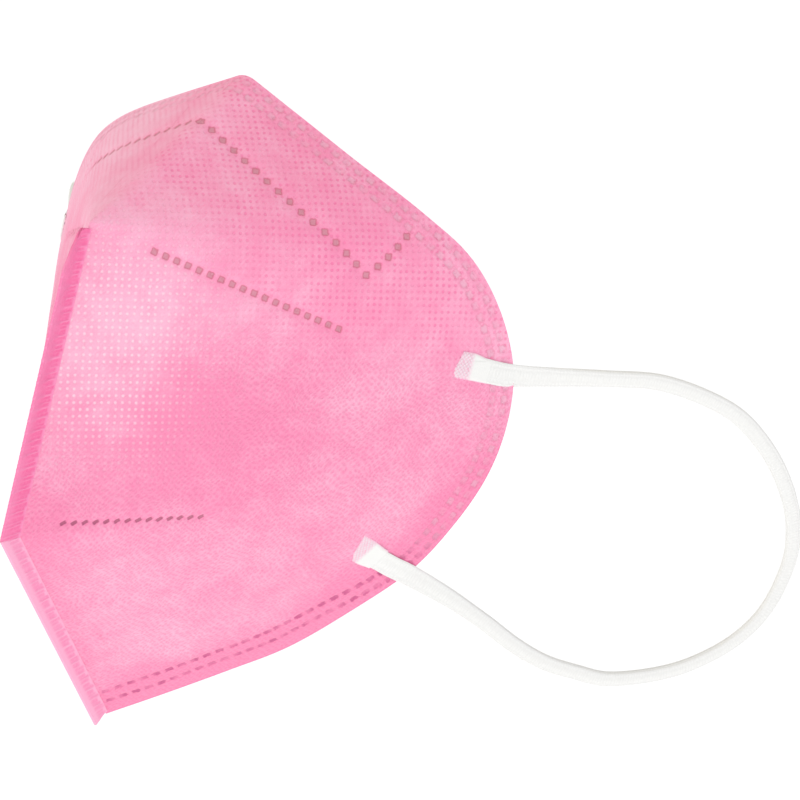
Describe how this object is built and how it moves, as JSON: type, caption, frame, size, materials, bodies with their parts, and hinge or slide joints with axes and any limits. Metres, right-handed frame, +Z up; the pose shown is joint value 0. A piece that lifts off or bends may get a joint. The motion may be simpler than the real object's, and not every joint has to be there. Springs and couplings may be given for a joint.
{
  "type": "respirator mask",
  "caption": "Fold-flat fabric respirator mask: layered panels hinged at fused seams, a bendable nose clip in a rim pocket and elastic ear loops.",
  "frame": {"origin": "centre of the face opening, half way between nose bridge and chin tip", "axes": "+Z up as worn, -Y the way the wearer faces, +X to the wearer's left"},
  "size_m": [0.2258, 0.1639, 0.1496],
  "materials": {
    "outer": "matte",
    "filter": "matte",
    "cotton": "matte",
    "lining": "matte",
    "seam": "matte",
    "clip": "satin",
    "tab": "matte",
    "loop": "matte"
  },
  "bodies": {
    "spine": {"front_seam": "seam"},
    "nose_ridge": {"nose_fold": "seam"},
    "chin_ridge": {"chin_seam": "seam"},
    "left_cheek": {"left_cheek_outer": "outer", "left_cheek_filter": "filter", "left_cheek_cotton": "cotton", "left_cheek_lining": "lining", "left_upper_loop_tab": "tab", "left_lower_loop_tab": "tab"},
    "left_nose": {"left_nose_outer": "outer", "left_nose_filter": "filter", "left_nose_cotton": "cotton", "left_nose_lining": "lining", "left_nose_clip": "clip"},
    "left_chin": {"left_chin_outer": "outer", "left_chin_filter": "filter", "left_chin_cotton": "cotton", "left_chin_lining": "lining"},
    "left_loop": {"left_ear_loop": "loop"},
    "right_cheek": {"right_cheek_outer": "outer", "right_cheek_filter": "filter", "right_cheek_cotton": "cotton", "right_cheek_lining": "lining", "right_upper_loop_tab": "tab", "right_lower_loop_tab": "tab"},
    "right_nose": {"right_nose_outer": "outer", "right_nose_filter": "filter", "right_nose_cotton": "cotton", "right_nose_lining": "lining", "right_nose_clip": "clip"},
    "right_chin": {"right_chin_outer": "outer", "right_chin_filter": "filter", "right_chin_cotton": "cotton", "right_chin_lining": "lining"},
    "right_loop": {"right_ear_loop": "loop"}
  },
  "joints": [
    {"name": "left_fold", "type": "hinge", "parent": "spine", "child": "left_cheek", "pos_m": [0.00255, -0.03936, 0.04034], "axis": [0, 0.0096, 1], "range_deg": [0, 30], "stiffness_Nm_per_rad": 0.02},
    {"name": "left_nose_crease", "type": "hinge", "parent": "left_cheek", "child": "left_nose", "pos_m": [0.00255, -0.03936, 0.04034], "axis": [0.6425, 0.7662, 0.0107], "range_deg": [0, 32]},
    {"name": "left_chin_crease", "type": "hinge", "parent": "left_cheek", "child": "left_chin", "pos_m": [0.00255, -0.03999, -0.02533], "axis": [-0.556, -0.8311, -0.0145], "range_deg": [0, 26]},
    {"name": "left_loop_swing", "type": "hinge", "parent": "left_cheek", "child": "left_loop", "pos_m": [0.0544, 0.0251, 0.0015], "axis": [-0.245, -0.0612, -0.9676], "range_deg": [0, 150], "stiffness_Nm_per_rad": 0.002},
    {"name": "right_fold", "type": "hinge", "parent": "spine", "child": "right_cheek", "pos_m": [-0.00255, -0.03936, 0.04034], "axis": [0, -0.0096, -1], "range_deg": [0, 30], "stiffness_Nm_per_rad": 0.02},
    {"name": "right_nose_crease", "type": "hinge", "parent": "right_cheek", "child": "right_nose", "pos_m": [-0.00255, -0.03936, 0.04034], "axis": [0.6425, -0.7662, -0.0107], "range_deg": [0, 32]},
    {"name": "right_chin_crease", "type": "hinge", "parent": "right_cheek", "child": "right_chin", "pos_m": [-0.00255, -0.03999, -0.02533], "axis": [-0.556, 0.8311, 0.0145], "range_deg": [0, 26]},
    {"name": "right_loop_swing", "type": "hinge", "parent": "right_cheek", "child": "right_loop", "pos_m": [-0.0544, 0.0251, 0.0015], "axis": [-0.245, 0.0612, 0.9676], "range_deg": [0, 150], "stiffness_Nm_per_rad": 0.002},
    {"name": "nose_ridge_bend", "type": "hinge", "parent": "spine", "child": "nose_ridge", "pos_m": [0, -0.03936, 0.04034], "axis": [1, 0, 0], "range_deg": [0, 14]},
    {"name": "chin_ridge_bend", "type": "hinge", "parent": "spine", "child": "chin_ridge", "pos_m": [0, -0.03999, -0.02533], "axis": [-1, 0, 0], "range_deg": [0, 9]}
  ],
  "couplings": [
    {"joint": "right_fold", "follows": "left_fold", "ratio": 1},
    {"joint": "left_nose_crease", "follows": "left_fold", "ratio": 1.038},
    {"joint": "left_chin_crease", "follows": "left_fold", "ratio": 0.863},
    {"joint": "right_nose_crease", "follows": "left_fold", "ratio": 1.038},
    {"joint": "right_chin_crease", "follows": "left_fold", "ratio": 0.863},
    {"joint": "nose_ridge_bend", "follows": "left_fold", "ratio": 0.464},
    {"joint": "chin_ridge_bend", "follows": "left_fold", "ratio": 0.2915}
  ]
}
